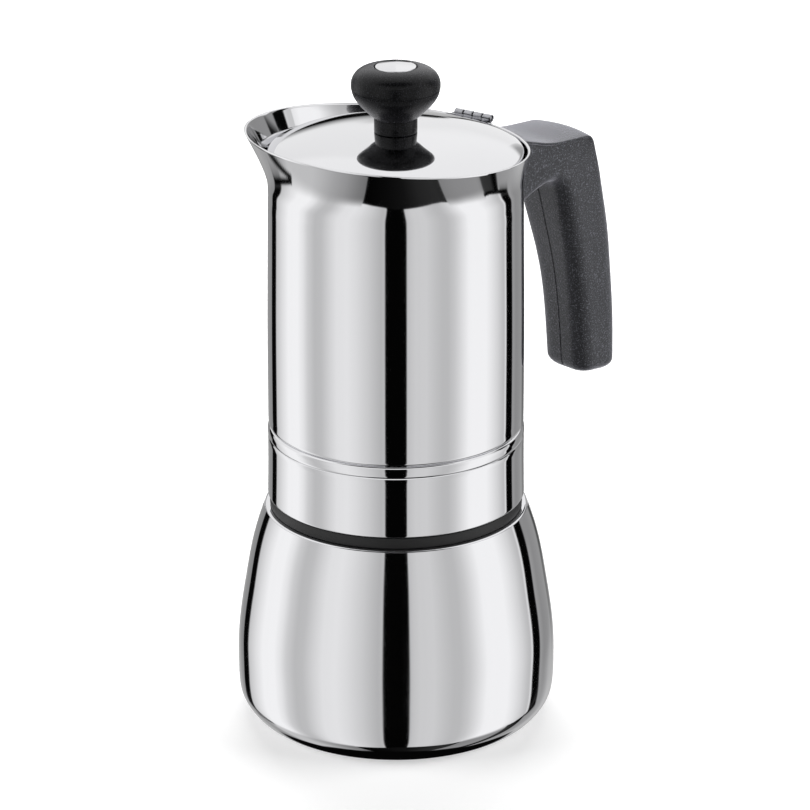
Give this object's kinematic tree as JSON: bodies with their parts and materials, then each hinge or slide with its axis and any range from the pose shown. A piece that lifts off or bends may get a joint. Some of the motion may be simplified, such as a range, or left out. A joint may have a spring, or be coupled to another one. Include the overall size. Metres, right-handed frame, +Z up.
{
  "type": "stovetop moka pot",
  "caption": "Stainless stovetop coffee pot with a screw-on jug over a rounded boiler, flared pouring rim, hinged lid with knob and a side handle.",
  "frame": {"origin": "centre of the base on the hob plane", "axes": "+Z up along the pot, +X towards the handle"},
  "size_m": [0.1413, 0.1073, 0.211],
  "materials": {
    "polished_steel": "mirror-polished stainless steel",
    "lid_steel": "mirror-polished stainless steel",
    "base_steel": "turned stainless steel",
    "satin_steel": "satin stainless steel",
    "plain_steel": "bright zinc-free steel",
    "black_plastic": "matte black",
    "grey_plastic": "fine-grained dark grey",
    "brass": "turned brass",
    "fibre": "plain fibre",
    "seal_rubber": "off-white silicone"
  },
  "bodies": {
    "boiler": {"boiler_shell": "polished_steel", "base_disc": "base_steel", "joint_ring": "black_plastic", "valve_body": "brass", "valve_nut": "brass", "valve_washer": "fibre", "valve_spring": "plain_steel"},
    "valve": {"valve_poppet": "plain_steel"},
    "funnel": {"funnel": "satin_steel", "funnel_plate": "satin_steel"},
    "seal": {"gasket": "seal_rubber"},
    "filter": {"filter_plate": "satin_steel"},
    "jug": {"jug_shell": "polished_steel", "collar": "polished_steel", "jug_floor": "satin_steel", "column": "satin_steel", "column_cap": "satin_steel", "handle": "grey_plastic", "handle_bracket": "plain_steel", "handle_screw": "plain_steel", "jug_leaf": "plain_steel", "hinge_pin": "plain_steel"},
    "lid": {"lid": "lid_steel", "lid_leaf": "plain_steel", "knob": "grey_plastic", "knob_cap": "plain_steel", "knob_screw": "plain_steel", "knob_washer": "plain_steel"}
  },
  "joints": [
    {"name": "jug_lift", "type": "slide", "parent": "boiler", "child": "seal", "axis": [0, 0, 1], "range_m": [0, 0.16]},
    {"name": "jug_turn", "type": "hinge", "parent": "seal", "child": "filter", "pos_m": [0, 0, 0.085], "axis": [0, 0, 1], "range_deg": [0, 540]},
    {"name": "jug_rise", "type": "slide", "parent": "filter", "child": "jug", "axis": [0, 0, 1], "range_m": [0, 0.0045]},
    {"name": "lid_hinge", "type": "hinge", "parent": "jug", "child": "lid", "pos_m": [0.04152, 0.00883, 0.1851], "axis": [-0.2079, 0.9781, 0], "range_deg": [0, 100]},
    {"name": "funnel_lift", "type": "slide", "parent": "boiler", "child": "funnel", "axis": [0, 0, 1], "range_m": [0, 0.08]},
    {"name": "valve_open", "type": "slide", "parent": "boiler", "child": "valve", "axis": [0, 1, 0], "range_m": [0, 0.0012], "stiffness_N_per_m": 1500, "springref_m": -0.002}
  ],
  "couplings": [
    {"joint": "jug_rise", "follows": "jug_turn", "m_per_rad": 0.00047742},
    {"joint": "funnel_lift", "follows": "jug_lift", "ratio": 0.5}
  ]
}
